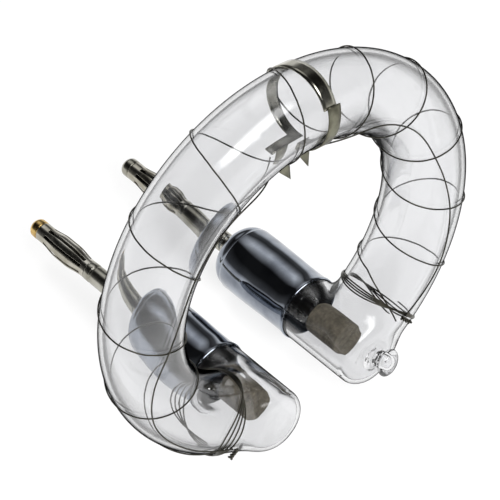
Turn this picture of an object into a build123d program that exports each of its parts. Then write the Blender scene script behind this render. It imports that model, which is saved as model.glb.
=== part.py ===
"""Plug-in ring flashtube for a studio flash head.

A C-shaped glass discharge tube ends in two parallel electrode legs. Each leg carries a sealed-in
electrode, a polished metal cap and a 4 mm spring-cage plug. A metal band round the top of the ring
is the trigger contact, and a thin trigger wire winds round the whole tube.

Frame, in millimetres: the origin is the centre of the ring, the ring lies in the XZ plane, its gap
is at the bottom (-Z), and the legs and plugs point backwards along +Y. "Right" is the +X side.
Angles round the ring are in degrees from +X towards +Z. Angles round the tube's own section are in
degrees from the outside of the ring (0) towards the back, +Y (90).
"""

from build123d import *
from math import cos, radians, sin, sqrt
import os

# Driving dimensions
RING_RADIUS = 34.0  # centreline of the bent tube
TUBE_RADIUS = 7.8
WALL = 1.1
LEG_ANGLE = 20.0  # from the bottom of the ring to each leg's axis
LEG_RADIUS = 6.5
PLUG_RADIUS = 2.0  # a 4 mm plug
WIRE_RADIUS = 0.15
END_SETBACK = 2.5  # degrees from each leg's axis to where the ring tube rounds off
FRONT_CORNER = 1.1  # on the closed front end of each leg
FRONT_PROUD = 0.15  # how far that end stands in front of the ring tube
SLIP = 0.05  # radial clearance of pieces that slip over each other

# Stations along a leg, measured along +Y from the plane of the ring
ELECTRODE_FRONT = -1.0
ELECTRODE_BACK = 7.0
WELD = 9.0  # where the leg tube is fused to the ring
CAP_MOUTH = 10.2
LEG_SHOULDER = 23.0  # where the leg tube starts to close
LEG_END = 28.5
STEM_FRONT = 13.5
STEM_END = 29.6
CAP_END = 31.7
ROD_END = 36.5
SLEEVE_FRONT = 34.2
SLEEVE_END = 47.5  # shoulder of the plug, where its cage starts
CORE_END = 62.2
PLUG_TIP = 64.4

# Electrode, rod and stem
ELECTRODE_RADIUS = 3.3
ROD_RADIUS = 1.0
ROD_SOCKET = 4.0
STEM_RADIUS = 2.3

# Cap, plug and cage
CAP_SHEET = 0.2
CAP_RADIUS = LEG_RADIUS + SLIP + CAP_SHEET
CAP_ROUND = 3.2
NECK_RADIUS = 1.6
CORE_RADIUS = 1.4
TIP_RADIUS = 1.95
TIP_ROUND = 0.8
RIVET_RADIUS = 0.7
RIVET_LENGTH = 3.0
CAGE_SHEET = 0.25
CAGE_COLLAR_BORE = CORE_RADIUS + SLIP
CAGE_BULGE_RADIUS = 2.45
CAGE_LAND = 3.0  # straight stretch at the middle of the bulge
CAGE_SLOTS = 8
CAGE_SLOT_WIDTH = 0.34
CAGE_END_PLAY = 0.12

# Trigger band
BAND_ANGLE = 79.0  # where the band sits on the ring
BAND_WIDTH = 2.6
BAND_SHEET = 0.25
BAND_BORE = TUBE_RADIUS + 0.03
BAND_START = -165.2  # section angles of the hoop's two ends
BAND_END = 183.6
ARM_START = 168.0
FRONT_EAR_Y = -2.0
ARM_FRONT_Y = -0.5
ARM_SWEEP = 13.0  # degrees round the ring that the side arm reaches
REAR_EAR_SWEEP = 8.0  # degrees from the band to the second ear

# Trigger wire: ring angles at which the hand-wound turns cross the outside of the ring
CROWN_ANGLES = (-36, -15, 10, 37, 60, 85, 113, 139, 166, 192, 218)
RIGHT_KNOT = (-51.0, -104.0)  # ring angle, section angle
LEFT_KNOT = (231.0, -70.0)
WIRE_LIFT = 0.03  # wires that lie on the glass
RUN_LIFT = WIRE_LIFT + 2 * WIRE_RADIUS + 0.03  # lengthwise wires, which cross over the turns
BAND_LIFT = 0.42  # the turn that climbs over the band
BAND_CLIMB = 6.0  # degrees round the ring over which it climbs
TURN_DRIFT = 2.0  # degrees by which each turn sways round the ring
STEPS_PER_TURN = 16
RUN_STEPS = 40  # points along each lengthwise wire
TWIST_WIRE_RADIUS = 0.22  # the tied ends are folded back double
TWIST_LENGTH = 3.0
TWIST_PITCH = 1.3
TWIST_STEPS = 36


def ring_point(ring_angle, section_angle=0.0, section_radius=0.0):
    """Point at an angle round the ring and a polar place in the tube's section there."""
    ring, section = radians(ring_angle), radians(section_angle)
    reach = RING_RADIUS + section_radius * cos(section)
    return Vector(reach * cos(ring), section_radius * sin(section), reach * sin(ring))


def section_plane(ring_angle):
    """Plane across the tube: x points out of the ring, y back, z along the tube."""
    ring = radians(ring_angle)
    return Plane(
        origin=ring_point(ring_angle),
        x_dir=(cos(ring), 0, sin(ring)),
        z_dir=(-sin(ring), 0, cos(ring)),
    )


def turned(outline):
    """Solid turned about the Y axis from an outline drawn in the XY plane, x being the radius."""
    return revolve(make_face(outline), Axis.Y)


def polygon(*points):
    """Closed outline through points in the XY plane."""
    return Polyline(*points, close=True)


def hole(radius, start, end):
    """Round cutter, or bar, along the Y axis."""
    return turned(polygon((0, start), (radius, start), (radius, end), (0, end)))


def arc_tube(radius, start, sweep):
    """Solid torus stretch of the ring."""
    disc = section_plane(start) * Circle(radius)
    return revolve(disc, Axis((0, 0, 0), (0, -1, 0)), revolution_arc=sweep)


def blunt_bar(radius, start, end, corner):
    """Round bar along Y with a rounded front edge."""
    outline = Line((0, start), (radius - corner, start))
    outline += CenterArc((radius - corner, start + corner), corner, -90, 90)
    outline += Line((radius, start + corner), (radius, end)) + Line((radius, end), (0, end))
    return turned(outline + Line((0, end), (0, start)))


def leg_place(side):
    """Location that carries a part modelled on the Y axis to the leg on that side (1 right, -1 left)."""
    angle = radians(LEG_ANGLE)
    return Location((side * RING_RADIUS * sin(angle), 0, -RING_RADIUS * cos(angle)))


# Glass ------------------------------------------------------------------------------------------


def ring_body(radius, leg_radius, leg_end):
    """The bent tube, its two round ends and the blunt leg stubs they run into, as one solid."""
    start = -90 + LEG_ANGLE + END_SETBACK
    body = arc_tube(radius, start, 360 - 2 * (LEG_ANGLE + END_SETBACK))
    for side, angle in ((1, start), (-1, 180 - start)):
        body += Pos(*ring_point(angle)) * Sphere(radius)
        body += leg_place(side) * blunt_bar(leg_radius, -radius - FRONT_PROUD, leg_end, FRONT_CORNER)
    return body


def make_ring_tube():
    outer = ring_body(TUBE_RADIUS, LEG_RADIUS, WELD)
    inner = ring_body(TUBE_RADIUS - WALL, LEG_RADIUS - WALL, WELD + 1)
    return outer - inner


def tip_plane():
    """Root of the exhaust tip on the front of the right-hand elbow, z pointing along the tip."""
    root = leg_place(1).position + Vector(0.6, -TUBE_RADIUS - FRONT_PROUD, 0.4)
    return Plane(origin=root, z_dir=(0.28, -0.95, -0.08))


def make_exhaust_tip():
    """Sealed-off stub of the pumping tube, with a wide root, a neck and a bead."""
    profile = Polyline((0, -0.9), (2.9, -0.9), (2.9, -0.2))
    profile += Spline((2.9, -0.2), (1.7, 0.9), (1.75, 1.8), (2.3, 2.9), (1.7, 3.9), (0, 4.3))
    profile += Line((0, 4.3), (0, -0.9))
    stub = tip_plane() * revolve(Plane.XZ * make_face(profile), Axis.Z)
    return stub - ring_body(TUBE_RADIUS, LEG_RADIUS, WELD)


def closing_arc(radius, end):
    """Quarter ellipse that closes the leg from its shoulder down onto the stem."""
    centre = (STEM_RADIUS, LEG_SHOULDER)
    return EllipticalCenterArc(centre, radius - STEM_RADIUS, end - LEG_SHOULDER, 0, arc_size=90)


def make_leg_tube():
    """Glass leg from the weld to the closed end that is fused to the stem."""
    r, bore, closed = LEG_RADIUS, LEG_RADIUS - WALL, STEM_RADIUS
    outline = Line((bore, WELD), (r, WELD)) + Line((r, WELD), (r, LEG_SHOULDER))
    outline += closing_arc(r, LEG_END)
    outline += Line((closed, LEG_END), (closed, LEG_END - WALL))
    outline += closing_arc(bore, LEG_END - WALL)
    outline += Line((bore, LEG_SHOULDER), (bore, WELD))
    return turned(outline)


def make_seal_stem():
    """Graded glass stem round the rod: a straight sleeve that flares towards the electrode."""
    flare = STEM_RADIUS + 1.1
    outline = polygon(
        (ROD_RADIUS, STEM_FRONT),
        (ROD_RADIUS + 0.5, STEM_FRONT),
        (flare, STEM_FRONT + 2.2),
        (flare, STEM_FRONT + 3.4),
        (STEM_RADIUS, STEM_FRONT + 5.5),
        (STEM_RADIUS, STEM_END),
        (ROD_RADIUS, STEM_END),
    )
    return turned(outline)


# Electrode assembly ------------------------------------------------------------------------------


def make_electrode():
    """Sintered tungsten cylinder with a blind socket for its rod."""
    slug = Cylinder(ELECTRODE_RADIUS, ELECTRODE_BACK - ELECTRODE_FRONT)
    slug = fillet(slug.edges().filter_by(GeomType.CIRCLE), 0.45)
    slug = Pos(0, (ELECTRODE_BACK + ELECTRODE_FRONT) / 2, 0) * (Rotation(-90, 0, 0) * slug)
    socket = hole(ROD_RADIUS, ELECTRODE_BACK - ROD_SOCKET, ELECTRODE_BACK + 1)
    return slug - socket


def make_electrode_rod():
    """Tungsten lead-in rod from the electrode's socket to the tail of the plug."""
    start = ELECTRODE_BACK - ROD_SOCKET
    return turned(polygon((0, start), (ROD_RADIUS, start), (ROD_RADIUS, ROD_END), (0, ROD_END)))


# Cap and plug -------------------------------------------------------------------------------------


def cap_solid(radius, start, end, corner):
    """Filled outer shape of the cap, or of its inside."""
    outline = Line((0, start), (radius, start)) + Line((radius, start), (radius, end - corner))
    outline += CenterArc((radius - corner, end - corner), corner, 0, 90)
    outline += Line((radius - corner, end), (0, end)) + Line((0, end), (0, start))
    return turned(outline)


def make_cap():
    """Deep-drawn cap over the end of the leg, with a hole for the plug's neck."""
    shell = cap_solid(CAP_RADIUS, CAP_MOUTH, CAP_END, CAP_ROUND)
    shell -= cap_solid(CAP_RADIUS - CAP_SHEET, CAP_MOUTH - 1, CAP_END - CAP_SHEET, CAP_ROUND - CAP_SHEET)
    return shell - hole(NECK_RADIUS + SLIP, CAP_END - 1, CAP_END + 1)


def make_pin_retainer():
    """Push-on washer that holds the plug's neck inside the end of the cap."""
    back = CAP_END - CAP_SHEET
    return turned(
        polygon((NECK_RADIUS, back - 0.5), (3.0, back - 0.5), (3.0, back), (NECK_RADIUS, back))
    )


def make_pin():
    """Turned plug body: neck, 4 mm sleeve and the core that carries the cage."""
    tail = CAP_END - 1.2
    bore = ROD_RADIUS + SLIP
    body = turned(
        polygon(
            (0, tail),
            (NECK_RADIUS, tail),
            (NECK_RADIUS, SLEEVE_FRONT),
            (PLUG_RADIUS - 0.2, SLEEVE_FRONT),
            (PLUG_RADIUS, SLEEVE_FRONT + 0.4),
            (PLUG_RADIUS, SLEEVE_END - 0.15),
            (PLUG_RADIUS - 0.15, SLEEVE_END),
            (CORE_RADIUS, SLEEVE_END),
            (CORE_RADIUS, CORE_END),
            (0, CORE_END),
        )
    )
    socket = hole(bore, tail - 1, ROD_END + 0.1)
    rivet = hole(RIVET_RADIUS, CORE_END - RIVET_LENGTH, CORE_END + 1)
    return body - socket - rivet


def make_pin_tip():
    """Rivet whose rounded head keeps the cage on the core."""
    foot, edge = CORE_END - RIVET_LENGTH + 0.1, TIP_RADIUS - TIP_ROUND
    outline = Polyline((edge, PLUG_TIP), (0, PLUG_TIP), (0, foot), (RIVET_RADIUS, foot))
    outline += Polyline((RIVET_RADIUS, foot), (RIVET_RADIUS, CORE_END), (TIP_RADIUS, CORE_END))
    outline += Line((TIP_RADIUS, CORE_END), (TIP_RADIUS, PLUG_TIP - TIP_ROUND))
    outline += CenterArc((edge, PLUG_TIP - TIP_ROUND), TIP_ROUND, 0, 90)
    return turned(outline)


def cage_profile(offset):
    """Edge of the bulged cage from collar to collar, moved out by offset."""
    start, end = SLEEVE_END + CAGE_END_PLAY, CORE_END - CAGE_END_PLAY
    collar = CAGE_COLLAR_BORE + offset
    bulge = CAGE_BULGE_RADIUS - CAGE_SHEET + offset
    middle = (start + end) / 2 - 0.4
    front, back = middle - CAGE_LAND / 2, middle + CAGE_LAND / 2
    line = Line((collar, start), (collar, start + 0.8))
    line += Spline((collar, start + 0.8), (bulge, front), tangents=[(0, 1), (0, 1)])
    line += Line((bulge, front), (bulge, back))
    line += Spline((bulge, back), (collar, end - 1.7), tangents=[(0, 1), (0, 1)])
    line += Line((collar, end - 1.7), (collar, end))
    return line, start, end, collar


def make_spring_cage():
    """Bulged, slotted spring sheet that spins freely on the plug's core."""
    inside, start, end, bore = cage_profile(0)
    outside, _, _, collar = cage_profile(CAGE_SHEET)
    outline = inside + outside + Line((bore, start), (collar, start)) + Line((bore, end), (collar, end))
    cage = turned(outline)
    length = end - start - 3.4
    slot = Pos(CAGE_BULGE_RADIUS, start + 1.3 + length / 2, 0) * Box(2.6, length, CAGE_SLOT_WIDTH)
    for i in range(CAGE_SLOTS):
        cage -= Rotation(0, 360 / CAGE_SLOTS * i, 0) * slot
    return cage


def make_cement():
    """Setting compound that fills the end of the cap round the leg, the stem and the retainer."""
    room = cap_solid(CAP_RADIUS - CAP_SHEET, LEG_SHOULDER, CAP_END - CAP_SHEET, CAP_ROUND - CAP_SHEET)
    leg_filled = turned(
        Line((0, WELD), (LEG_RADIUS, WELD))
        + Line((LEG_RADIUS, WELD), (LEG_RADIUS, LEG_SHOULDER))
        + closing_arc(LEG_RADIUS, LEG_END)
        + Line((STEM_RADIUS, LEG_END), (0, LEG_END))
        + Line((0, LEG_END), (0, WELD))
    )
    core = turned(polygon((0, LEG_END), (STEM_RADIUS, LEG_END), (STEM_RADIUS, STEM_END), (0, STEM_END)))
    tail = CAP_END - 1.2
    neck = turned(polygon((0, STEM_END), (NECK_RADIUS, STEM_END), (NECK_RADIUS, CAP_END), (0, CAP_END)))
    rod = turned(polygon((0, STEM_END), (ROD_RADIUS, STEM_END), (ROD_RADIUS, tail), (0, tail)))
    return room - leg_filled - core - neck - rod - make_pin_retainer()


# Trigger band ---------------------------------------------------------------------------------------


def band_section(start, end):
    """Face of the band's sheet between two section angles."""
    inner, outer = BAND_BORE, BAND_BORE + BAND_SHEET
    outline = CenterArc((0, 0), inner, start, end - start)
    outline += CenterArc((0, 0), outer, start, end - start)
    for angle in (radians(start), radians(end)):
        across = Vector(cos(angle), sin(angle))
        outline += Line(across * inner, across * outer)
    return make_face(outline)


def ear(ring_angle, y, long_side, short_side):
    """Flat ear that points at the ring's centre, cut slantwise."""
    root = sqrt(BAND_BORE**2 - y**2)
    half = BAND_WIDTH / 2
    outline = polygon((-root, -half), (-root - long_side, -half), (-root - short_side, half), (-root, half))
    sheet = extrude(Plane.XZ * make_face(outline), BAND_SHEET)
    return section_plane(ring_angle) * (Pos(0, y, 0) * sheet)


def make_trigger_band():
    """Band with two cut ears and a side arm from which the left-hand wire starts."""
    plane = section_plane(BAND_ANGLE)
    hoop = extrude(band_section(BAND_START, BAND_END), BAND_WIDTH)
    arm = revolve(plane * band_section(ARM_START, BAND_END), Axis((0, 0, 0), (0, -1, 0)), ARM_SWEEP)
    band = plane * (Pos(0, 0, -BAND_WIDTH / 2) * hoop) + arm
    band += ear(BAND_ANGLE, FRONT_EAR_Y, 5.2, 1.9)
    band += ear(BAND_ANGLE + REAR_EAR_SWEEP, ARM_FRONT_Y, 7.6, 4.6)
    return band


# Trigger wire ---------------------------------------------------------------------------------------


def wire_along(points, radius=WIRE_RADIUS):
    """Round wire through points."""
    path = Spline(*points)
    disc = Plane(origin=path @ 0, z_dir=path % 0) * Circle(radius)
    return sweep(disc, path=path, is_frenet=True)


def lift_near_band(ring_angle):
    """Height of a turn above the glass, which rises where the turn crosses the band."""
    nearness = max(0.0, 1 - ((ring_angle - BAND_ANGLE) / BAND_CLIMB) ** 2)
    return WIRE_LIFT + (BAND_LIFT - WIRE_LIFT) * nearness**2


def make_trigger_helix():
    """Hand-wound wire that spirals round the tube from the right-hand knot to the left-hand one."""
    stations = [(RIGHT_KNOT[0] + 3.5, RIGHT_KNOT[1] + 360), (CROWN_ANGLES[0] - 6, 180)]
    stations += [(angle, -360 * turn) for turn, angle in enumerate(CROWN_ANGLES)]
    last = -360 * (len(CROWN_ANGLES) - 1)
    stations += [(LEFT_KNOT[0] - 3, last + LEFT_KNOT[1])]
    points = []
    for (ring_a, section_a), (ring_b, section_b) in zip(stations, stations[1:]):
        count = max(1, round(abs(section_b - section_a) / 360 * STEPS_PER_TURN))
        for i in range(count):
            share = i / count
            section = section_a + share * (section_b - section_a)
            drift = TURN_DRIFT * (sin(radians(section + 40)) - sin(radians(40)))
            ring_angle = ring_a + share * (ring_b - ring_a) + drift
            radius = TUBE_RADIUS + lift_near_band(ring_angle) + WIRE_RADIUS
            points.append(ring_point(ring_angle, section, radius))
    return wire_along(points)


def lengthwise_wire(stations):
    """Wire laid along the glass through a few (ring angle, section angle) stations."""
    radius = TUBE_RADIUS + RUN_LIFT + WIRE_RADIUS
    course = Spline(*stations)
    places = [course @ (i / RUN_STEPS) for i in range(RUN_STEPS + 1)]
    return wire_along([ring_point(place.X, place.Y, radius) for place in places])


def make_right_run():
    stations = [(-49, -92), (-34, -86), (-16, -93), (2, -104), (18, -109), (41, -105), (57, -112)]
    return lengthwise_wire(stations + [(70, -142), (76, -158)])


def make_left_run():
    stations = [(93.2, -176), (104, -142), (119, -108), (136, -99), (156, -98), (168, -87)]
    return lengthwise_wire(stations + [(182, -63), (198, -48), (214, -52), (227, -66)])


def make_end_wrap(knot_angle, step):
    """Four tight turns of wire round the end of the ring, spread apart on the front."""
    turns = 4
    radius = TUBE_RADIUS + WIRE_LIFT + WIRE_RADIUS
    points = []
    for i in range(turns * STEPS_PER_TURN + 1):
        section = 360 * i / STEPS_PER_TURN
        share = i / (turns * STEPS_PER_TURN)
        points.append(ring_point(knot_angle + step * share, -section, radius))
    return wire_along(points)


def make_wire_twist(ring_angle, section_angle):
    """Twisted pigtail that ties the wires off, two strands wound round each other."""
    strand_radius = TWIST_WIRE_RADIUS + 0.02
    lift = WIRE_LIFT + 2 * WIRE_RADIUS + TWIST_WIRE_RADIUS + strand_radius + 0.02
    base = ring_point(ring_angle, section_angle, TUBE_RADIUS + lift)
    ring, section = radians(ring_angle), radians(section_angle)
    along = Vector(-sin(section) * cos(ring), cos(section), -sin(section) * sin(ring))
    outward = Vector(cos(section) * cos(ring), sin(section), cos(section) * sin(ring))
    base_plane = Plane(origin=base, z_dir=along + outward * 0.25)
    strands = []
    for start in (0, 180):
        points = []
        for i in range(TWIST_STEPS + 1):
            height = TWIST_LENGTH * i / TWIST_STEPS
            turn = radians(start + 360 * height / TWIST_PITCH)
            local = (strand_radius * cos(turn), strand_radius * sin(turn), height)
            points.append(base_plane.from_local_coords(Vector(*local)))
        strands.append(wire_along(points, TWIST_WIRE_RADIUS))
    return Compound(children=strands)


def write(name, shape):
    export_step(shape, f"parts/{name}.step")


def main():
    os.makedirs("parts", exist_ok=True)
    write("ring_tube", make_ring_tube())
    write("exhaust_tip", make_exhaust_tip())
    write("trigger_band", make_trigger_band())
    write("trigger_helix", make_trigger_helix())
    write("right_trigger_run", make_right_run())
    write("left_trigger_run", make_left_run())
    write("right_end_wrap", make_end_wrap(RIGHT_KNOT[0] - 1.2, -4.0))
    write("left_end_wrap", make_end_wrap(LEFT_KNOT[0] + 1.2, 4.0))
    write("right_wire_twist", make_wire_twist(RIGHT_KNOT[0] - 2.5, RIGHT_KNOT[1]))
    write("left_wire_twist", make_wire_twist(LEFT_KNOT[0] + 2.5, LEFT_KNOT[1]))
    leg_pieces = {
        "leg_tube": make_leg_tube(),
        "seal_stem": make_seal_stem(),
        "electrode": make_electrode(),
        "electrode_rod": make_electrode_rod(),
        "cap_cement": make_cement(),
        "end_cap": make_cap(),
        "pin_retainer": make_pin_retainer(),
        "plug_pin": make_pin(),
        "spring_cage": make_spring_cage(),
        "plug_tip": make_pin_tip(),
    }
    for side, word in ((1, "right"), (-1, "left")):
        for name, shape in leg_pieces.items():
            write(f"{word}_{name}", leg_place(side) * shape)


main()
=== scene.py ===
"""Looks of the plug-in ring flashtube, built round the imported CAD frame.

Lengths in this script are in millimetres until a mesh is made, when they become metres. The frame is
the CAD's: ring in the XZ plane about the origin, gap at the bottom, legs and plugs along +Y.

A place on the ring is a pair of angles in degrees. The ring angle runs from +X (0) over the top (90).
The section angle runs round the tube from the ring's outside (0) over its back (90) to its inside
(180), so that the front is at -90.
"""

import random
from itertools import product
from math import atan2, cos, degrees, pi, radians, sin, sqrt

import bpy
import numpy as np
from mathutils import Matrix, Vector


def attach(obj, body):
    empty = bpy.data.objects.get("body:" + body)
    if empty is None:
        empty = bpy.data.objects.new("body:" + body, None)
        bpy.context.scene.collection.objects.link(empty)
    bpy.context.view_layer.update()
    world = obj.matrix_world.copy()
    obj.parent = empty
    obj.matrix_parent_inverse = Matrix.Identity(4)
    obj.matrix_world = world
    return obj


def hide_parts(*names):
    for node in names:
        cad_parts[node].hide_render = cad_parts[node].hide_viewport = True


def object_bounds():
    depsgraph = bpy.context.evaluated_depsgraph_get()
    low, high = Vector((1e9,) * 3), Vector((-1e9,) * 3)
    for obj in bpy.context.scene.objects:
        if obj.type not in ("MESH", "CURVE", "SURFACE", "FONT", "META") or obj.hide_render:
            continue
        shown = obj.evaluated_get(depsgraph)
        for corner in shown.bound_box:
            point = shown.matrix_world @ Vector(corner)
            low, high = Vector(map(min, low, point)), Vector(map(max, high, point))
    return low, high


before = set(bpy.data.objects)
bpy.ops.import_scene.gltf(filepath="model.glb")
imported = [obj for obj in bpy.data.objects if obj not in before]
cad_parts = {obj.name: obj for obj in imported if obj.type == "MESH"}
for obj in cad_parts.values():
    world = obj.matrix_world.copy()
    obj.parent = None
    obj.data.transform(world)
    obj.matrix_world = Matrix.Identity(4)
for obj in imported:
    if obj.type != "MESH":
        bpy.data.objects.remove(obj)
CAD_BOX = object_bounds()

MM = 0.001
SIDES = (("left", -1), ("right", 1))

# Glass: a ring that tapers into two legs with rounded ends
RING_RADIUS = 34.0
TUBE_RADIUS = 7.8
WALL = 0.85
LEG_ANGLE = 20.0
LEG_RADIUS = 6.5
LEG_CORNER = 2.4
LEG_X = RING_RADIUS * sin(radians(LEG_ANGLE))
LEG_Z = -RING_RADIUS * cos(radians(LEG_ANGLE))
LEG_FRONT = -TUBE_RADIUS - 0.15
LEG_END = 28.2
TAPER_ANGLE = 10.0
END_RADIUS = 7.2
DOME_REACH = 2.0
DOME_BLEND = 4.0
ELBOW_BLEND = 2.8

# Exhaust tip. A bar is radius, start, end and corner; a bead is radius, half length, centre and slope.
TIP_ROOT = (LEG_X + 0.6, LEG_FRONT, LEG_Z + 0.4)
TIP_AXIS = (0.28, -0.95, -0.08)
TIP_FOOT = (2.7, -1.0, 0.35, 0.3)
TIP_NECK = (1.55, -1.0, 2.6, 0.3)
TIP_BEAD = (2.75, 1.5, 2.88, 1.9)
TIP_THROAT = (0.75, -2.0, 1.2, 0.4)
TIP_BUBBLE = (1.2, 0.8, 2.4, 1.0)

# Glass mesh: the grid's step, and how far the grid reaches past the glass
GLASS_STEP = 0.5
GLASS_MARGIN = 1.5
GLASS_FRONT, GLASS_BACK = -14.0, 30.0

# Electrodes, stems, caps and plugs: radii, and places along Y
SLUG_RADIUS = 3.3
SLUG_START, SLUG_END = -1.0, 7.0
ROD_BORE = 1.02
RIB_START, RIB_PITCH, RIB_COUNT = 9.2, 1.15, 5
CAP_RADIUS = 6.6
CAP_SHOULDER = 28.5
CAP_CORNER = 3.2
CAP_STEPS = 12
PIN_RADIUS = 2.0
PIN_START, PIN_END = 30.5, 47.5
CORE_RADIUS = 1.4
CORE_END = 62.2

# Spring cage: places along Y of its collar, rise, bulge, fall and collar, and its slots
CAGE_START, CAGE_END = 47.62, 62.08
RISE_START, FALL_END = 48.42, 60.4
BULGE_START, BULGE_END = 52.95, 55.95
SLOT_START, SLOT_END = 48.9, 59.9
COLLAR_RADIUS = 1.83
BULGE_RADIUS = 2.325
SLOT_HALF = 0.30
LEAVES = 8
LEAF_COLUMNS = 8
CAGE_ROWS = 60
CAGE_SHEET = 0.22
CAGE_EDGE = 0.04

# Trigger band: a strip with a lap on its front, a side arm and two cut ears
BAND_ANGLE = 79.0
BAND_WIDTH = 2.6
BAND_SHEET = 0.24
BAND_BORE = TUBE_RADIUS + 0.03
BAND_MIDDLE = BAND_BORE + 0.125
BAND_START, BAND_END = -165.2, 183.6
BAND_PITCH = 2.5
LAP_SECTION = -64.0
LAP_OVERLAP = 3.0
LAP_SLIP = 1.0
LAP_LIFT = 0.26
ARM_REACH = 13.0
ARM_START = 168
ARM_LIFT = 0.12
ACROSS = (-1, -0.5, 0, 0.5, 1)
# ring angle, place along Y, and the lengths of an ear's long and short sides
EARS = {
    "trigger_band_ear_a": (BAND_ANGLE, -2.0, 5.2, 1.9),
    "trigger_band_ear_b": (BAND_ANGLE + 8.0, -0.5, 7.6, 4.6),
}

# Trigger wire: turns, lengthwise runs, end wraps and the twists that tie it off. A knot or a place on
# a run is a pair of ring angle and section angle; a crown is where a turn crosses the ring's outside.
WIRE_RADIUS = 0.15
WIRE_TIP = 0.7
WIRE_LIFT = 0.03
RUN_LIFT = WIRE_LIFT + 2 * WIRE_RADIUS + 0.03
BAND_LIFT = 0.42
BAND_CLIMB = 6.0
TURN_STEPS = 72
CROWN_ANGLES = (-36, -15, 10, 37, 60, 85, 113, 139, 166, 192, 218)
RIGHT_KNOT = (-51.0, -104.0)
LEFT_KNOT = (231.0, -70.0)
RUNS = {
    "right": (
        (-52.5, -98), (-34, -86), (-16, -93), (2, -104), (18, -109), (41, -105), (57, -112),
        (70, -142), (76, -158),
    ),
    "left": (
        (93.2, -176), (104, -142), (119, -108), (136, -99), (156, -98), (168, -87), (182, -63),
        (198, -48), (214, -52), (232.5, -68),
    ),
}
# where a wrap starts on the ring, how far it advances, and how far each turn fans out past the last
WRAPS = {"right": (RIGHT_KNOT[0] - 1.2, -4.0, 1.3), "left": (LEFT_KNOT[0] + 1.2, 4.0, -3.2)}
WRAP_TURNS = 4
WRAP_STEPS = 64
TWISTS = {"right": (RIGHT_KNOT[0] - 2.5, RIGHT_KNOT[1]), "left": (LEFT_KNOT[0] + 2.5, LEFT_KNOT[1])}
TWIST_WIRE_RADIUS = 0.22
TWIST_LENGTH = 2.4
TWIST_PITCH = 1.3
TWIST_FLARE = 2.0
TWIST_LEAN = 0.1
TWIST_GAP = 0.02
TWIST_STEPS = 60

# Stage: angles in degrees, lengths in metres, lens in millimetres
CAMERA_PLACE = (-36.17, 46.74)
CAMERA_ROLL = -6.59
CAMERA_DISTANCE = 0.68
CAMERA_SHIFT = (-0.00652, 0.00072)
CAMERA_LENS = 270.4
# azimuth, elevation, half sizes, softness and strength of a window
WINDOWS = ((18, 56, (0.34, 0.20), 0.08, 6.0), (146, 50, (0.26, 0.22), 0.2, 1.1))
# azimuth, elevation, distance, size and power of a lamp
LAMPS = {
    "front_softbox": (-15, 36, 0.9, (0.6, 0.4), 16.0),
    "rear_softbox": (154, 52, 0.9, (0.5, 0.5), 6.0),
}
FLOOR_RADIUS = 4.0
FLOOR_CORNERS = 96
FLOOR_DROP = 0.0003


# Mesh helpers -------------------------------------------------------------------------------------


def make_object(name, verts, faces, material, body="tube"):
    """Smooth mesh object from millimetre vertices, riding on a CAD body."""
    mesh = bpy.data.meshes.new(name)
    mesh.from_pydata([tuple(c * MM for c in v) for v in verts], [], faces)
    mesh.validate()
    mesh.polygons.foreach_set("use_smooth", [True] * len(mesh.polygons))
    mesh.materials.append(material)
    obj = bpy.data.objects.new(name, mesh)
    bpy.context.scene.collection.objects.link(obj)
    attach(obj, body)
    return obj


def stand_in(obj, *nodes):
    """Hides the CAD nodes that a piece stands in for."""
    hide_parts(*nodes)


def thicken(obj, thickness):
    """Gives a one-sided sheet its thickness, half to each side."""
    solid = obj.modifiers.new("sheet", "SOLIDIFY")
    solid.thickness = thickness * MM
    solid.offset = 0


def ring_point(ring_angle, section_angle, section_radius):
    """Point at an angle round the ring and a polar place in the tube's section there."""
    ring, section = radians(ring_angle), radians(section_angle)
    reach = RING_RADIUS + section_radius * cos(section)
    return Vector((reach * cos(ring), section_radius * sin(section), reach * sin(ring)))


def lathe_faces(rows, steps):
    """Faces between rings of vertex numbers, where a ring of one vertex is a pole."""
    faces = []
    for a, b in zip(rows, rows[1:]):
        for i in range(steps):
            j = (i + 1) % steps
            if len(a) == 1:
                faces.append((a[0], b[j], b[i]))
            elif len(b) == 1:
                faces.append((a[i], a[j], b[0]))
            else:
                faces.append((a[i], a[j], b[j], b[i]))
    return faces


def lathe(name, profile, side, material, steps=64, wobble=0.0, seed=0):
    """Closed surface turned about a leg's axis from (radius, y) points; a zero radius is a pole."""
    rng = random.Random(seed)
    verts, rows = [], []
    for radius, y in profile:
        if radius == 0:
            rows.append([len(verts)])
            verts.append((side * LEG_X, y, LEG_Z))
            continue
        row = []
        for i in range(steps):
            angle = 2 * pi * i / steps
            r = radius * (1 + wobble * rng.uniform(-1, 1))
            row.append(len(verts))
            verts.append((side * LEG_X + r * sin(angle), y, LEG_Z + r * cos(angle)))
        rows.append(row)
    return make_object(name, verts, lathe_faces(rows, steps), material)


def rounded(points, radius, steps=4):
    """Profile with each inner corner cut by a small arc."""
    result = [points[0]]
    for before, corner, after in zip(points, points[1:], points[2:]):
        a, b, c = (Vector(p) for p in (before, corner, after))
        r = min(radius, (a - b).length / 2.01, (c - b).length / 2.01)
        start, end = b + (a - b).normalized() * r, b + (c - b).normalized() * r
        for i in range(steps + 1):
            t = i / steps
            point = start * (1 - t) ** 2 + b * 2 * t * (1 - t) + end * t**2
            result.append(tuple(point))
    return result + [points[-1]]


def subdivided(profile, longest):
    """Profile with extra points along each stretch, so that a wobble shows on flat faces too."""
    fine = []
    for a, b in zip(profile, profile[1:]):
        count = max(1, int((Vector(b) - Vector(a)).length / longest))
        for i in range(count):
            t = i / count
            fine.append((a[0] + (b[0] - a[0]) * t, a[1] + (b[1] - a[1]) * t))
    return fine + [profile[-1]]


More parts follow.
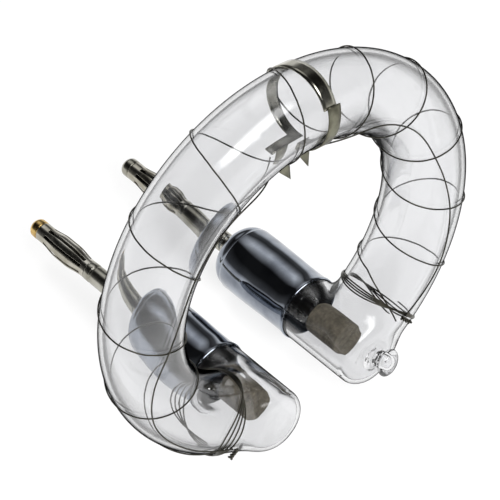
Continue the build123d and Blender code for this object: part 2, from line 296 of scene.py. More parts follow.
def wire_faces(count, sides):
    """Faces of a tube of rings between its two end points."""
    faces = []
    for i in range(count - 1):
        for k in range(sides):
            a, b = 1 + i * sides + k, 1 + i * sides + (k + 1) % sides
            faces.append((a, b, b + sides, a + sides))
    last = 1 + (count - 1) * sides
    for k in range(sides):
        faces.append((0, 1 + (k + 1) % sides, 1 + k))
        faces.append((last + k, last + (k + 1) % sides, last + sides))
    return faces


def wire_mesh(name, points, material, sides=10, radius=WIRE_RADIUS):
    """Round wire with rounded ends through a list of points."""
    points = [Vector(p) for p in points]
    tangents = []
    for i in range(len(points)):
        low, high = max(i - 1, 0), min(i + 1, len(points) - 1)
        tangents.append((points[high] - points[low]).normalized())
    normal = tangents[0].orthogonal().normalized()
    verts = [points[0] - tangents[0] * radius * WIRE_TIP]
    for point, tangent in zip(points, tangents):
        normal = (normal - tangent * normal.dot(tangent)).normalized()
        binormal = tangent.cross(normal)
        for k in range(sides):
            angle = 2 * pi * k / sides
            verts.append(point + (normal * cos(angle) + binormal * sin(angle)) * radius)
    verts.append(points[-1] + tangents[-1] * radius * WIRE_TIP)
    return make_object(name, verts, wire_faces(len(points), sides), material)


# Glass envelope as a distance field ---------------------------------------------------------------


def smooth_min(a, b, blend):
    """Union of two distance fields with a fillet."""
    h = np.clip(0.5 + 0.5 * (b - a) / blend, 0, 1)
    return b * (1 - h) + a * h - blend * h * (1 - h)


def ring_field(p):
    """Bent tube that narrows over its last few degrees and ends in a dome just past the legs."""
    x, y, z = np.abs(p[..., 0]), p[..., 1], p[..., 2]
    past_leg = np.arctan2(x, -z) - radians(LEG_ANGLE)
    t = np.clip(past_leg / radians(TAPER_ANGLE), 0, 1)
    radius = END_RADIUS + (TUBE_RADIUS - END_RADIUS) * t * t * (3 - 2 * t)
    side = np.hypot(np.hypot(x, z) - RING_RADIUS, y) - radius
    past_end = -past_leg * RING_RADIUS - DOME_REACH
    return -smooth_min(-side, -past_end, DOME_BLEND)


def bar_field(reach, along, radius, low, high, corner):
    """Rounded bar: reach is the distance from its axis and along the place on it."""
    q0 = reach - radius + corner
    q1 = np.abs(along - (low + high) / 2) - (high - low) / 2 + corner
    outside = np.hypot(np.maximum(q0, 0), np.maximum(q1, 0))
    return outside + np.minimum(np.maximum(q0, q1), 0) - corner


def bead_field(reach, along, radius, half_length, centre, slope):
    """Flattened bead on an axis; the slope keeps its field close to a distance."""
    return slope * np.sqrt((reach / radius) ** 2 + ((along - centre) / half_length) ** 2) - slope


def tip_place(p):
    """Distance from the exhaust tip's axis, and the place along it."""
    axis = np.array(TIP_AXIS) / np.linalg.norm(TIP_AXIS)
    rel = p - np.array(TIP_ROOT)
    along = rel @ axis
    reach = np.linalg.norm(rel - along[..., None] * axis, axis=-1)
    return reach, along


def body_field(p):
    """Outside of the ring and the legs, blended into elbows."""
    reach = np.hypot(np.abs(p[..., 0]) - LEG_X, p[..., 2] - LEG_Z)
    leg = bar_field(reach, p[..., 1], LEG_RADIUS, LEG_FRONT, LEG_END, LEG_CORNER)
    return smooth_min(ring_field(p), leg, ELBOW_BLEND)


def outer_field(p):
    """Outside of the glass: ring, legs and exhaust tip."""
    place = tip_place(p)
    stalk = smooth_min(bar_field(*place, *TIP_FOOT), bar_field(*place, *TIP_NECK), 0.5)
    return smooth_min(body_field(p), smooth_min(stalk, bead_field(*place, *TIP_BEAD), 0.6), 0.5)


def inner_field(p):
    """Cavity of the glass: the body less an even wall, with the throat of the exhaust tip."""
    place = tip_place(p)
    throat = smooth_min(bar_field(*place, *TIP_THROAT), bead_field(*place, *TIP_BUBBLE), 0.5)
    return smooth_min(body_field(p) + WALL, throat, 0.6)


def gradient(field, points, delta=0.01):
    """Unit normals of a field at points."""
    columns = []
    for axis in np.eye(3) * delta:
        columns.append(field(points + axis) - field(points - axis))
    normals = np.stack(columns, axis=-1)
    return normals / np.linalg.norm(normals, axis=-1, keepdims=True)


def settle(field, points, rounds):
    """Moves points onto the zero surface of a field."""
    for _ in range(rounds):
        points = points - field(points)[:, None] * gradient(field, points)
    return points


def crossed_cells(inside):
    """Cells that the surface crosses, and a grid that holds each one's number."""
    shape = np.array(inside.shape) - 1
    corners = np.zeros(shape, int)
    for dx, dy, dz in product((0, 1), repeat=3):
        corners += inside[dx : dx + shape[0], dy : dy + shape[1], dz : dz + shape[2]]
    active = (corners > 0) & (corners < 8)
    index = -np.ones(shape, int)
    index[active] = np.arange(active.sum())
    return np.argwhere(active), index


def crossed_edges(inside, index):
    """Quads that join the four cells round each grid edge that the surface crosses."""
    quads = []
    for axis in range(3):
        others = [a for a in range(3) if a != axis]
        state = np.moveaxis(inside, (axis, *others), (0, 1, 2))
        cell = np.moveaxis(index, (axis, *others), (0, 1, 2))
        change = state[:-1, 1:-1, 1:-1] != state[1:, 1:-1, 1:-1]
        flip = state[:-1, 1:-1, 1:-1][change] ^ (axis == 1)
        i, j, k = np.nonzero(change)
        round_edge = [cell[i, j, k], cell[i, j + 1, k], cell[i, j + 1, k + 1], cell[i, j, k + 1]]
        loops = np.stack(round_edge, axis=1)
        loops[~flip] = loops[~flip][:, ::-1]
        quads.append(loops)
    return np.concatenate(quads)


def surface_net(field, low, high, step):
    """Even quad mesh of a field's zero surface: vertices, quads and exact normals."""
    axes = [np.arange(a, b, step) for a, b in zip(low, high)]
    grid = np.stack(np.meshgrid(*axes, indexing="ij"), axis=-1)
    inside = field(grid) < 0
    cells, index = crossed_cells(inside)
    quads = crossed_edges(inside, index)
    points = settle(field, np.array(low) + (cells + 0.5) * step, 4)
    for _ in range(6):
        total, count = np.zeros_like(points), np.zeros(len(points))
        for a in range(4):
            np.add.at(total, quads[:, a], points[quads[:, (a + 1) % 4]] + points[quads[:, a - 1]])
            np.add.at(count, quads[:, a], 2)
        points = settle(field, 0.5 * points + 0.5 * total / count[:, None], 2)
    return points, quads, gradient(field, points)


def make_envelope(material, bore_material):
    """Glass wall as one mesh: the outer surface and, facing inwards, the cavity."""
    reach = RING_RADIUS + TUBE_RADIUS + GLASS_MARGIN
    low, high = (-reach, GLASS_FRONT, -reach), (reach, GLASS_BACK, reach)
    step = GLASS_STEP * 1
    out_points, out_quads, out_normals = surface_net(outer_field, low, high, step)
    in_points, in_quads, in_normals = surface_net(inner_field, low, high, step)
    points = np.concatenate([out_points, in_points])
    quads = np.concatenate([out_quads, in_quads[:, ::-1] + len(out_points)])
    normals = np.concatenate([out_normals, -in_normals])
    obj = make_object("glass_envelope", points.tolist(), quads.tolist(), material)
    obj.data.materials.append(bore_material)
    slots = [0] * len(out_quads) + [1] * len(in_quads)
    obj.data.polygons.foreach_set("material_index", slots)
    obj.data.normals_split_custom_set_from_vertices(normals.tolist())
    stand_in(obj, "ring_tube", "left_leg_tube", "right_leg_tube", "exhaust_tip")


# Materials ----------------------------------------------------------------------------------------


class Nodes:
    """Thin wrapper that makes node trees short to write."""

    def __init__(self, tree):
        self.tree = tree
        tree.nodes.clear()

    def add(self, kind, settings=(), **inputs):
        """New node with settings and inputs: i0 is the first input, and Base_Color is Base Color."""
        node = self.tree.nodes.new(kind)
        for key, value in dict(settings).items():
            setattr(node, key, value)
        for key, value in inputs.items():
            numbered = key[0] == "i" and key[1:].isdigit()
            socket = node.inputs[int(key[1:]) if numbered else key.replace("_", " ")]
            if isinstance(value, bpy.types.NodeSocket):
                self.tree.links.new(value, socket)
            else:
                socket.default_value = value
        return node

    def math(self, operation, a, b=0.0):
        return self.add("ShaderNodeMath", {"operation": operation}, i0=a, i1=b).outputs[0]

    def dot(self, vector, axis):
        settings = {"operation": "DOT_PRODUCT"}
        return self.add("ShaderNodeVectorMath", settings, i0=vector, i1=tuple(axis)).outputs["Value"]

    def ramp(self, fac, stops):
        """Colour ramp through (place, grey or colour) stops."""
        node = self.add("ShaderNodeValToRGB", Fac=fac)
        elements = node.color_ramp.elements
        while len(elements) < len(stops):
            elements.new(0.5)
        for element, (place, value) in zip(elements, stops):
            element.position = place
            element.color = (*value, 1) if isinstance(value, tuple) else (value, value, value, 1)
        return node.outputs["Color"]


def new_material(name):
    mat = bpy.data.materials.new(name)
    mat.use_nodes = True
    return mat, Nodes(mat.node_tree)


def glass_material(name, tint, edge_shade_grey, edge_shade_stops, ripple=0.02, shadow=0.93):
    """Clear quartz: faint draw ripple, painted shade that greys the wall where it is seen edge-on, and
    a light shadow.
    """
    mat, n = new_material(name)
    coord = n.add("ShaderNodeTexCoord").outputs["Object"]
    noise = n.add("ShaderNodeTexNoise", Vector=coord, Scale=140.0, Detail=2.0)
    bump = n.add("ShaderNodeBump", Strength=ripple, Distance=0.001, Height=noise.outputs["Fac"])
    smear = n.add("ShaderNodeTexNoise", Vector=coord, Scale=60.0, Detail=4.0)
    rough = n.ramp(smear.outputs["Fac"], ((0.55, 0.0), (0.8, 0.03)))
    # Painted shade: where the wall is seen edge-on, a grey see-through layer is mixed in for the
    # glass's dark outlines.
    facing = n.add("ShaderNodeLayerWeight", Blend=0.5).outputs["Facing"]
    edge = n.ramp(facing, edge_shade_stops)
    glass = n.add("ShaderNodeBsdfPrincipled", Base_Color=(*tint, 1), Roughness=rough, IOR=1.46,
                  Normal=bump.outputs["Normal"], Transmission_Weight=1.0)
    painted_edge_shade = n.add("ShaderNodeBsdfTransparent", Color=(edge_shade_grey, edge_shade_grey, edge_shade_grey, 1))
    wall = n.add("ShaderNodeMixShader", i0=edge, i1=glass.outputs[0], i2=painted_edge_shade.outputs[0])
    clear = n.add("ShaderNodeBsdfTransparent", Color=(shadow, shadow, shadow, 1))
    in_shadow = n.add("ShaderNodeLightPath").outputs["Is Shadow Ray"]
    mix = n.add("ShaderNodeMixShader", i0=in_shadow, i1=wall.outputs[0], i2=clear.outputs[0])
    n.add("ShaderNodeOutputMaterial", Surface=mix.outputs[0])
    return mat


def metal_material(name, light, dark, rough, patch=180.0, stretch=(1, 1, 1), wave=0.0):
    """Metal with patchy tarnish, fine scratches, uneven polish and, for a drawn part, gentle waves."""
    mat, n = new_material(name)
    coord = n.add("ShaderNodeTexCoord").outputs["Object"]
    scaled = n.add("ShaderNodeMapping", Vector=coord, Scale=stretch).outputs[0]
    tarnish = n.add("ShaderNodeTexNoise", Vector=coord, Scale=patch, Detail=5.0)
    scratch = n.add("ShaderNodeTexNoise", Vector=scaled, Scale=900.0, Detail=3.0)
    colour = n.ramp(tarnish.outputs["Fac"], ((0.35, dark), (0.62, light)))
    polish = n.ramp(scratch.outputs["Fac"], ((0.3, rough[0]), (0.75, rough[1])))
    swell = n.add("ShaderNodeTexNoise", Vector=coord, Scale=75.0, Detail=1.0)
    waves = n.add("ShaderNodeBump", Strength=wave, Distance=0.002, Height=swell.outputs["Fac"])
    lift = n.add("ShaderNodeBump", Strength=0.02, Distance=0.0002, Height=scratch.outputs["Fac"],
                 Normal=waves.outputs["Normal"])
    shader = n.add("ShaderNodeBsdfPrincipled", Base_Color=colour, Metallic=1.0, Roughness=polish,
                   Normal=lift.outputs["Normal"])
    n.add("ShaderNodeOutputMaterial", Surface=shader.outputs[0])
    return mat


def dull_material(name, light, dark, rough, scale, bump, metallic=0.0):
    """Matt grainy surface, such as sintered metal or set compound."""
    mat, n = new_material(name)
    coord = n.add("ShaderNodeTexCoord").outputs["Object"]
    grain = n.add("ShaderNodeTexNoise", Vector=coord, Scale=scale, Detail=6.0, Roughness=0.7)
    pits = n.add("ShaderNodeTexVoronoi", Vector=coord, Scale=scale * 1.5)
    colour = n.ramp(grain.outputs["Fac"], ((0.35, dark), (0.65, light)))
    both = n.math("ADD", grain.outputs["Fac"], pits.outputs["Distance"])
    lift = n.add("ShaderNodeBump", Strength=bump, Distance=0.0004, Height=both)
    shader = n.add("ShaderNodeBsdfPrincipled", Base_Color=colour, Metallic=metallic, Roughness=rough,
                   Normal=lift.outputs["Normal"])
    n.add("ShaderNodeOutputMaterial", Surface=shader.outputs[0])
    return mat


def make_metals():
    """Metals of the caps, plugs, band and wires."""
    return {
        "chrome": metal_material(
            "polished_nickel", light=(0.34, 0.37, 0.42), dark=(0.20, 0.22, 0.26), rough=(0.03, 0.09),
            wave=0.5,
        ),
        "turned": metal_material(
            "turned_nickel", light=(0.46, 0.45, 0.40), dark=(0.28, 0.27, 0.22), rough=(0.14, 0.26),
            stretch=(1, 6, 1),
        ),
        "spring": metal_material(
            "spring_sheet", light=(0.62, 0.60, 0.54), dark=(0.34, 0.32, 0.26), rough=(0.14, 0.28),
            wave=0.1,
        ),
        # Painted shade: the near-black core that shows through the cage's slots.
        "core_shade": metal_material(
            "painted_shade_core", light=(0.08, 0.075, 0.06), dark=(0.03, 0.028, 0.022), rough=(0.35, 0.55),
        ),
        "brass": metal_material(
            "bare_brass", light=(0.74, 0.52, 0.20), dark=(0.40, 0.26, 0.09), rough=(0.16, 0.30),
            patch=600.0,
        ),
        "strip": metal_material(
            "nickel_strip", light=(0.52, 0.51, 0.45), dark=(0.26, 0.25, 0.20), rough=(0.12, 0.24),
            patch=260.0, wave=0.3,
        ),
        "cut_strip": metal_material(
            "cut_strip", light=(0.22, 0.215, 0.16), dark=(0.10, 0.095, 0.07), rough=(0.35, 0.5),
            patch=400.0,
        ),
        "wire": metal_material(
            "dull_wire", light=(0.09, 0.086, 0.07), dark=(0.025, 0.023, 0.018), rough=(0.3, 0.5),
        ),
        "tungsten": metal_material(
            "drawn_tungsten", light=(0.45, 0.45, 0.46), dark=(0.28, 0.28, 0.29), rough=(0.25, 0.4),
            stretch=(1, 0.1, 1),
        ),
    }


def make_materials():
    """Every material of the object, by a short name."""
    tint = (0.88, 0.882, 0.89)
    # How the painted edge shade on the glass comes on with the facing angle; the darker one comes on
    # sooner.
    pale_edge_shade = ((0.5, 0.0), (0.74, 0.3), (0.85, 1.0))
    dark_edge_shade = ((0.50, 0.0), (0.64, 0.2), (0.77, 0.95))
    return make_metals() | {
        "sinter": dull_material(
            "sintered_metal", light=(0.13, 0.115, 0.088), dark=(0.05, 0.044, 0.034), rough=0.6,
            scale=900.0, bump=0.35, metallic=0.35,
        ),
        "cement": dull_material(
            "set_compound", light=(0.80, 0.78, 0.72), dark=(0.66, 0.63, 0.56), rough=0.85,
            scale=700.0, bump=0.3,
        ),
        "quartz": glass_material("clear_quartz", tint, edge_shade_grey=0.14, edge_shade_stops=pale_edge_shade),
        "bore": glass_material("quartz_bore", tint, edge_shade_grey=0.12, edge_shade_stops=dark_edge_shade),
        "seal": glass_material(
            "seal_glass", (0.62, 0.63, 0.60), edge_shade_grey=0.25, edge_shade_stops=dark_edge_shade, ripple=0.15, shadow=0.6,
        ),
    }


# Electrodes, caps and plugs -----------------------------------------------------------------------


def make_electrode(word, side, material):
    """Sintered slug with soft edges and a slightly uneven surface."""
    points = [(0, SLUG_START), (SLUG_RADIUS, SLUG_START), (SLUG_RADIUS, SLUG_END), (0, SLUG_END)]
    profile = subdivided(rounded(points, 0.3, 5), 0.5)
    obj = lathe(f"{word}_electrode_slug", profile, side, material, steps=72, wobble=0.006, seed=side)
    stand_in(obj, f"{word}_electrode")


def make_stem(word, side, material):
    """Ribbed glass seal round the rod, flared away from the electrode."""
    profile = [(ROD_BORE, 8.8), (1.5, 8.6)]
    for i in range(RIB_COUNT):
        y = RIB_START + i * RIB_PITCH
        profile += [(2.0 + 0.35 * i, y), (2.9 + 0.3 * i, y + 0.45), (2.1 + 0.35 * i, y + 0.95)]
    profile += [(4.0, 15.6), (2.3, 18.5), (2.3, 29.5), (ROD_BORE, 29.5)]
    obj = lathe(f"{word}_stem_glass", rounded(profile, 0.3, 3), side, material, steps=56)
    stand_in(obj, f"{word}_seal_stem")


def make_cap(word, side, material):
    """Drawn cap with a rolled mouth, a slight waist and a round shoulder."""
    mouth = [(6.62, 10.2), (6.78, 10.35), (6.8, 10.7), (6.66, 11.2)]
    waist = [(6.58, 13.5), (6.6, 16.5), (6.7, 20.0), (6.75, 24.0), (6.75, 28.1)]
    groove = [(6.68, 28.3), (6.6, 28.4)]
    shoulder = []
    for i in range(1, CAP_STEPS + 1):
        angle = i / CAP_STEPS * pi / 2
        radius = CAP_RADIUS - CAP_CORNER + CAP_CORNER * cos(angle)
        shoulder.append((radius, CAP_SHOULDER + CAP_CORNER * sin(angle)))
    hole = [(2.0, 31.7), (1.68, 31.65), (1.66, 31.5)]
    inside = [(3.4, 31.5), (6.4, 28.5), (6.55, 24.0), (6.55, 20.0), (6.53, 12.0), (6.53, 10.3)]
    profile = mouth + waist + groove + shoulder + hole + inside + mouth[:1]
    obj = lathe(f"{word}_cap_shell", profile, side, material, steps=96)
    stand_in(obj, f"{word}_end_cap")


def make_plug_pin(word, side, material):
    """Turned plug body: neck, sleeve with a groove and shoulder."""
    neck = [(0, PIN_START), (1.6, PIN_START), (1.6, 34.2)]
    sleeve = [(PIN_RADIUS, 34.35), (PIN_RADIUS, 45.6), (1.8, 45.75), (1.8, 46.1), (PIN_RADIUS, 46.25)]
    shoulder = [(PIN_RADIUS, PIN_END), (0, PIN_END)]
    obj = lathe(f"{word}_plug_body", rounded(neck + sleeve + shoulder, 0.12, 3), side, material)
    stand_in(obj, f"{word}_plug_pin")


def make_plug_core(word, side, material):
    """Near-black core inside the cage: painted shade, so that the slots show dark."""
    points = [(0, PIN_END), (CORE_RADIUS, PIN_END), (CORE_RADIUS, CORE_END), (0, CORE_END)]
    lathe(f"{word}_plug_core", rounded(points, 0.1, 3), side, material)


def make_plug_tip(word, side, material):
    """Rounded tip with a shallow dimple in its end."""
    points = [(0, 62.1), (1.95, 62.2), (1.95, 63.75), (1.45, 64.4), (0.7, 64.4), (0.5, 64.0), (0, 63.9)]
    obj = lathe(f"{word}_plug_head", rounded(points, 0.3, 4), side, material, steps=56)
    stand_in(obj, f"{word}_plug_tip")


def cage_radius(y):
    """Mid-sheet radius of the cage at a station: collar, bulge, collar."""
    if y < BULGE_START:
        t = (y - RISE_START) / (BULGE_START - RISE_START)
    else:
        t = (FALL_END - y) / (FALL_END - BULGE_END)
    t = min(max(t, 0.0), 1.0)
    return COLLAR_RADIUS + (BULGE_RADIUS - COLLAR_RADIUS) * (3 * t**2 - 2 * t**3)


def cage_verts(side):
    """Rows of points round the cage, spread over its leaves with a slot between each two."""
    verts = []
    pitch = 2 * pi / LEAVES
    for r in range(CAGE_ROWS + 1):
        y = CAGE_START + (CAGE_END - CAGE_START) * r / CAGE_ROWS
        radius = cage_radius(y)
        edge = SLOT_HALF / radius
        for leaf, place in product(range(LEAVES), range(LEAF_COLUMNS)):
            angle = leaf * pitch + edge + (pitch - 2 * edge) * place / (LEAF_COLUMNS - 1)
            verts.append((side * LEG_X + radius * cos(angle), y, LEG_Z + radius * sin(angle)))
    return verts


def cage_faces():
    """Faces between the rows, closed round the collars and open at the slots."""
    faces = []
    columns = LEAVES * LEAF_COLUMNS
    for r in range(CAGE_ROWS):
        y = CAGE_START + (CAGE_END - CAGE_START) * (r + 0.5) / CAGE_ROWS
        slotted = SLOT_START < y < SLOT_END
        for c in range(columns):
            if slotted and c % LEAF_COLUMNS == LEAF_COLUMNS - 1:
                continue
            a, b = r * columns + c, r * columns + (c + 1) % columns
            faces.append((a, a + columns, b + columns, b))
    return faces


def make_cage(word, side, material):
    """Bulged and slotted spring sheet, which turns on the core."""
    name, body = f"{word}_cage_leaves", f"{word}_cage"
    obj = make_object(name, cage_verts(side), cage_faces(), material, body=body)
    thicken(obj, CAGE_SHEET)
    bevel = obj.modifiers.new("soft_edges", "BEVEL")
    bevel.width = CAGE_EDGE * MM
    bevel.segments = 2
    bevel.limit_method = "ANGLE"
    stand_in(obj, f"{word}_spring_cage")


def make_leg(word, side, materials):
    """Everything in and behind one leg; the CAD's hidden pieces only get a material."""
    make_electrode(word, side, materials["sinter"])
    make_stem(word, side, materials["seal"])
    make_cap(word, side, materials["chrome"])
    make_plug_pin(word, side, materials["turned"])
    make_plug_core(word, side, materials["core_shade"])
    make_plug_tip(word, side, materials["brass" if word == "left" else "turned"])
    make_cage(word, side, materials["spring"])
    hidden = {"electrode_rod": "tungsten", "cap_cement": "cement", "pin_retainer": "turned"}
    for part, key in hidden.items():
        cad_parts[f"{word}_{part}"].data.materials[0] = materials[key]


# Trigger band and wires ---------------------------------------------------------------------------


def drift(rng, keep, low, high):
    """Endless slow random drift, for a hand-made look."""
    value = 0.0
    while True:
        value = keep * value + rng.uniform(low, high)
        yield value


def sheet_object(name, rows, material):
    """Strip of metal sheet through rows of points."""
    width = len(rows[0])
    verts = [p for row in rows for p in row]
    faces = []
    for r in range(len(rows) - 1):
        for c in range(width - 1):
            a = r * width + c
            faces.append((a, a + 1, a + 1 + width, a + width))
    obj = make_object(name, verts, faces, material)
    thicken(obj, BAND_SHEET)
    return obj


def make_strip(name, first, last, slip, rise, rng, material):
    """Part of the band from one section angle to another; the slip and rise are those of a lap."""
    half = degrees(BAND_WIDTH / 2 / RING_RADIUS)
    rows, lifts = [], drift(rng, 0.8, 0.0, 0.02)
    for section, lift in zip(np.linspace(first, last, int((last - first) / BAND_PITCH)), lifts):
        share = (section - BAND_START) / (LAP_SECTION - BAND_START)
        skew = 0.5 * sin(radians(section * 1.5))
        ring = BAND_ANGLE + skew - slip * share
        radius = BAND_MIDDLE + lift + rise * share
        rows.append([ring_point(ring + half * s, section, radius) for s in ACROSS])
    return sheet_object(name, rows, material)


def make_arm(material):
    """Short strip that leads from the band along the inside of the ring, past the second ear."""
    rows = []
    for ring in np.linspace(BAND_ANGLE, BAND_ANGLE + ARM_REACH, 15):
        sections = np.linspace(ARM_START, BAND_END, 5)
        rows.append([ring_point(ring, section, BAND_MIDDLE + ARM_LIFT) for section in sections])
    sheet_object("trigger_band_arm", rows, material)


def make_ear(name, ring, y, long_side, short_side, material):
    """Ear that stands off the band into the ring's opening, cut aslant and curled forwards."""
    root = sqrt(BAND_BORE**2 - y**2)
    tangent = Vector((-sin(radians(ring)), 0, cos(radians(ring))))
    rows = []
    for t in np.linspace(0, 1, 9):
        row = []
        for s in ACROSS:
            reach = root + t * (long_side + (short_side - long_side) * (s + 1) / 2)
            curled = y - 0.25 * t * t
            base = ring_point(ring, degrees(atan2(curled, -reach)), sqrt(reach**2 + curled**2))
            row.append(base + tangent * (BAND_WIDTH / 2 * s * (1 - 0.1 * t)))
        rows.append(row)
    sheet_object(name, rows, material)


def make_band(material, cut_material):
    """Hand-wrapped strip round the tube, lapped at its front, with its side arm and two cut ears."""
    rng = random.Random(4)
    lap_end = LAP_SECTION + LAP_OVERLAP
    make_strip("trigger_band_lap", BAND_START, lap_end, LAP_SLIP, LAP_LIFT, rng, cut_material)
    band = make_strip("trigger_band_strip", LAP_SECTION, BAND_END, 0.0, 0.0, rng, material)
    make_arm(material)
    for name, place in EARS.items():
        make_ear(name, *place, cut_material)
    stand_in(band, "trigger_band")


def lift_near_band(ring_angle):
    """Height of a turn above the glass, which rises where the turn crosses the band."""
    nearness = max(0.0, 1 - ((ring_angle - BAND_ANGLE) / BAND_CLIMB) ** 2)
    return WIRE_LIFT + (BAND_LIFT - WIRE_LIFT) * nearness**2


def helix_stations():
    """Places that the turns pass through: a knot, the crown of each turn and the other knot."""
    stations = [(RIGHT_KNOT[0] - 1.5, RIGHT_KNOT[1] + 360), (CROWN_ANGLES[0] - 6, 180)]
    stations += [(angle, -360 * turn) for turn, angle in enumerate(CROWN_ANGLES)]
    last = -360 * (len(CROWN_ANGLES) - 1)
    return stations + [(LEFT_KNOT[0] + 1.5, last + LEFT_KNOT[1])]


def make_helix(material):
    """Hand-wound turns from the right-hand knot to the left-hand one, with a little sway and kink."""
    stations = helix_stations()
    kinks = drift(random.Random(7), 0.9, -0.05, 0.05)
    points = []
    for (ring_a, section_a), (ring_b, section_b) in zip(stations, stations[1:]):
        count = max(2, round(abs(section_b - section_a) / 360 * TURN_STEPS))
        for i in range(count):
            share = i / count
            section = section_a + share * (section_b - section_a)
            sway = 2.0 * (sin(radians(section + 40)) - sin(radians(40)))
            ring = ring_a + share * (ring_b - ring_a) + sway + next(kinks)
            points.append(ring_point(ring, section, TUBE_RADIUS + lift_near_band(ring) + WIRE_RADIUS))
    stand_in(wire_mesh("trigger_wire_turns", points, material), "trigger_helix")


def spline(stations, count):
    """Smooth course through (ring, section) stations by Catmull-Rom interpolation."""
    ends = [stations[0], *stations, stations[-1]]
    points = []
    for i in range(len(stations) - 1):
        a, b, c, d = (np.array(ends[i + k], float) for k in range(4))
        for k in range(count):
            t = k / count
            square = (2 * a - 5 * b + 4 * c - d) * t**2
            cube = (3 * b - a - 3 * c + d) * t**3
            points.append((2 * b + (c - a) * t + square + cube) / 2)
    return points + [np.array(stations[-1], float)]


def make_run(word, stations, material):
    """Lengthwise wire along the front of the tube, between the band and a knot."""
    radius = TUBE_RADIUS + RUN_LIFT + WIRE_RADIUS
    points = [ring_point(ring, section, radius) for ring, section in spline(stations, 12)]
    stand_in(wire_mesh(f"{word}_run_wire", points, material), f"{word}_trigger_run")


def make_end_wrap(word, knot_angle, step, fan, material):
    """Four turns that meet inside and outside the ring and fan out between."""
    wander = drift(random.Random(len(word)), 0.95, -0.02, 0.02)
    radius = TUBE_RADIUS + WIRE_LIFT + WIRE_RADIUS
    points = []
    for i in range(WRAP_TURNS * WRAP_STEPS + 1):
        share = i / (WRAP_TURNS * WRAP_STEPS)
        spread = fan * (i // WRAP_STEPS) * sin(2 * pi * i / WRAP_STEPS) ** 2
        ring = knot_angle + step * share + spread + next(wander)
        points.append(ring_point(ring, -360 * i / WRAP_STEPS, radius))
    stand_in(wire_mesh(f"{word}_wrap_wire", points, material), f"{word}_end_wrap")


def make_twist(word, ring_angle, section_angle, material):
    """Two strands twisted round each other, standing off the wrap and flared at the end."""
    strand = TWIST_WIRE_RADIUS + TWIST_GAP
    lift = WIRE_LIFT + 2 * WIRE_RADIUS + TWIST_WIRE_RADIUS + strand + TWIST_GAP
    base = ring_point(ring_angle, section_angle, TUBE_RADIUS + lift)
    ring, section = radians(ring_angle), radians(section_angle)
    along = Vector((-sin(section) * cos(ring), cos(section), -sin(section) * sin(ring)))
    outward = Vector((cos(section) * cos(ring), sin(section), cos(section) * sin(ring)))
    axis = (along + outward * TWIST_LEAN).normalized()
    u = axis.orthogonal().normalized()
    v = axis.cross(u)
    for k, suffix in enumerate("ab"):
        points = []
        for i in range(TWIST_STEPS + 1):
            height = TWIST_LENGTH * i / TWIST_STEPS
            angle = 2 * pi * height / TWIST_PITCH + pi * k
            spread = strand * (1 + 0.8 * max(0, height - TWIST_FLARE))
            points.append(base + axis * height + (u * cos(angle) + v * sin(angle)) * spread)
        obj = wire_mesh(f"{word}_twist_strand_{suffix}", points, material, radius=TWIST_WIRE_RADIUS)
    stand_in(obj, f"{word}_wire_twist")


def make_wires(material):
    """The trigger wire, from its turns to its ties."""
    make_helix(material)
    for word in ("right", "left"):
        make_run(word, RUNS[word], material)
        make_end_wrap(word, *WRAPS[word], material)
        make_twist(word, *TWISTS[word], material)


# Stage --------------------------------------------------------------------------------------------


def compass(azimuth, elevation):
    """Unit vector towards a direction round the object, with level and upward ones across it."""
    a, e = radians(azimuth), radians(elevation)
    back = Vector((sin(a) * cos(e), -cos(a) * cos(e), sin(e)))
    level = Vector((cos(a), sin(a), 0))
    return back, level, back.cross(level)


def window(n, direction, azimuth, elevation, half_sizes, soft):
    """Soft-edged rectangle in the room: one inside it and zero outside."""
    centre, level, up = compass(azimuth, elevation)
    depth = n.dot(direction, centre)
    value = n.math("GREATER_THAN", depth, 0.0)
    for axis, half in zip((level, up), half_sizes):
        offset = n.math("ABSOLUTE", n.math("DIVIDE", n.dot(direction, axis), depth))
        value = n.math("MULTIPLY", value, n.ramp(offset, ((half - soft, 1.0), (half + soft, 0.0))))
    return value


def make_world():
    """White to the camera; to anything else, pale low down and dark overhead, with two soft windows."""
    world = bpy.data.worlds.new("studio")
    bpy.context.scene.world = world
    world.use_nodes = True
    n = Nodes(world.node_tree)
    coord = n.add("ShaderNodeTexCoord").outputs["Generated"]
    height = n.add("ShaderNodeSeparateXYZ", Vector=coord).outputs["Z"]
    room = n.ramp(height, ((0.06, 0.95), (0.24, 0.12), (0.60, 0.015)))
    for *place, strength in WINDOWS:
        room = n.math("ADD", n.math("MULTIPLY", window(n, coord, *place), strength), room)
    to_camera = n.add("ShaderNodeLightPath").outputs["Is Camera Ray"]
    seen = n.add("ShaderNodeMix", {"data_type": "RGBA"}, i0=to_camera, i6=room, i7=(1, 1, 1, 1))
    back = n.add("ShaderNodeBackground", Color=seen.outputs[2], Strength=1.0)
    n.add("ShaderNodeOutputWorld", Surface=back.outputs[0])


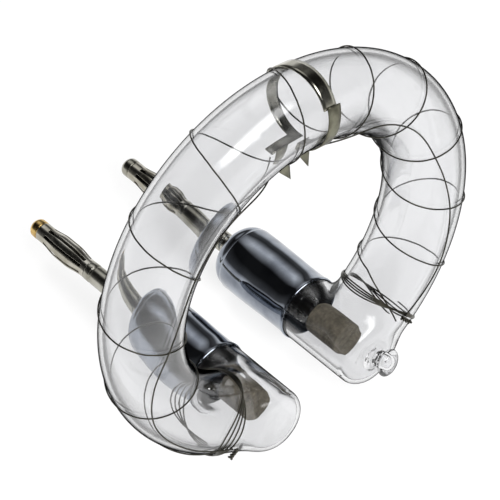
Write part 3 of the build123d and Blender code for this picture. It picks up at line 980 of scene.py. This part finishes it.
def make_floor():
    """Pale light-table floor just under the ring."""
    mat, n = new_material("floor_paper")
    coord = n.add("ShaderNodeTexCoord").outputs["Object"]
    noise = n.add("ShaderNodeTexNoise", Vector=coord, Scale=30.0, Detail=3.0)
    shade = n.ramp(noise.outputs["Fac"], ((0.3, 0.14), (0.7, 0.16)))
    diffuse = n.add("ShaderNodeBsdfDiffuse", Color=shade)
    glow = n.add("ShaderNodeEmission", Color=(1, 1, 1, 1), Strength=0.78)
    total = n.add("ShaderNodeAddShader", i0=diffuse.outputs[0], i1=glow.outputs[0])
    n.add("ShaderNodeOutputMaterial", Surface=total.outputs[0])
    verts = []
    for i in range(FLOOR_CORNERS):
        angle = 2 * pi * i / FLOOR_CORNERS
        verts.append((FLOOR_RADIUS * cos(angle), FLOOR_RADIUS * sin(angle), CAD_BOX[0].z - FLOOR_DROP))
    mesh = bpy.data.meshes.new("floor")
    mesh.from_pydata(verts, [], [tuple(range(FLOOR_CORNERS))])
    mesh.materials.append(mat)
    floor = bpy.data.objects.new("floor", mesh)
    bpy.context.scene.collection.objects.link(floor)


def make_light(name, azimuth, elevation, distance, size, power):
    """Soft light aimed at the object; polished surfaces mirror the world's windows instead of it."""
    back = compass(azimuth, elevation)[0]
    data = bpy.data.lights.new(name, "AREA")
    data.shape = "RECTANGLE"
    data.size, data.size_y = size
    data.energy = power
    light = bpy.data.objects.new(name, data)
    light.location = back * distance
    light.rotation_mode = "QUATERNION"
    light.rotation_quaternion = (-back).to_track_quat("-Z", "Y")
    light.visible_glossy = light.visible_transmission = False
    bpy.context.scene.collection.objects.link(light)


def make_camera():
    """Camera above and to the left of the front, rolled so that the ring leans left."""
    roll = radians(CAMERA_ROLL)
    back, level, upward = compass(*CAMERA_PLACE)
    right = level * cos(roll) + upward * sin(roll)
    up = back.cross(right)
    data = bpy.data.cameras.new("camera")
    data.lens, data.sensor_width = CAMERA_LENS, 36.0
    data.clip_start, data.clip_end = 0.01, 50
    camera = bpy.data.objects.new("camera", data)
    place = back * CAMERA_DISTANCE + right * CAMERA_SHIFT[0] + up * CAMERA_SHIFT[1]
    camera.matrix_world = Matrix.Translation(place) @ Matrix((right, up, back)).transposed().to_4x4()
    bpy.context.scene.collection.objects.link(camera)
    bpy.context.scene.camera = camera


# Assembly -----------------------------------------------------------------------------------------


def main():
    materials = make_materials()
    make_envelope(materials["quartz"], materials["bore"])
    for word, side in SIDES:
        make_leg(word, side, materials)
    make_band(materials["strip"], materials["cut_strip"])
    make_wires(materials["wire"])

    make_world()
    make_floor()
    for name, place in LAMPS.items():
        make_light(name, *place)
    make_camera()
    bpy.context.scene.view_settings.view_transform = "Standard"


main()
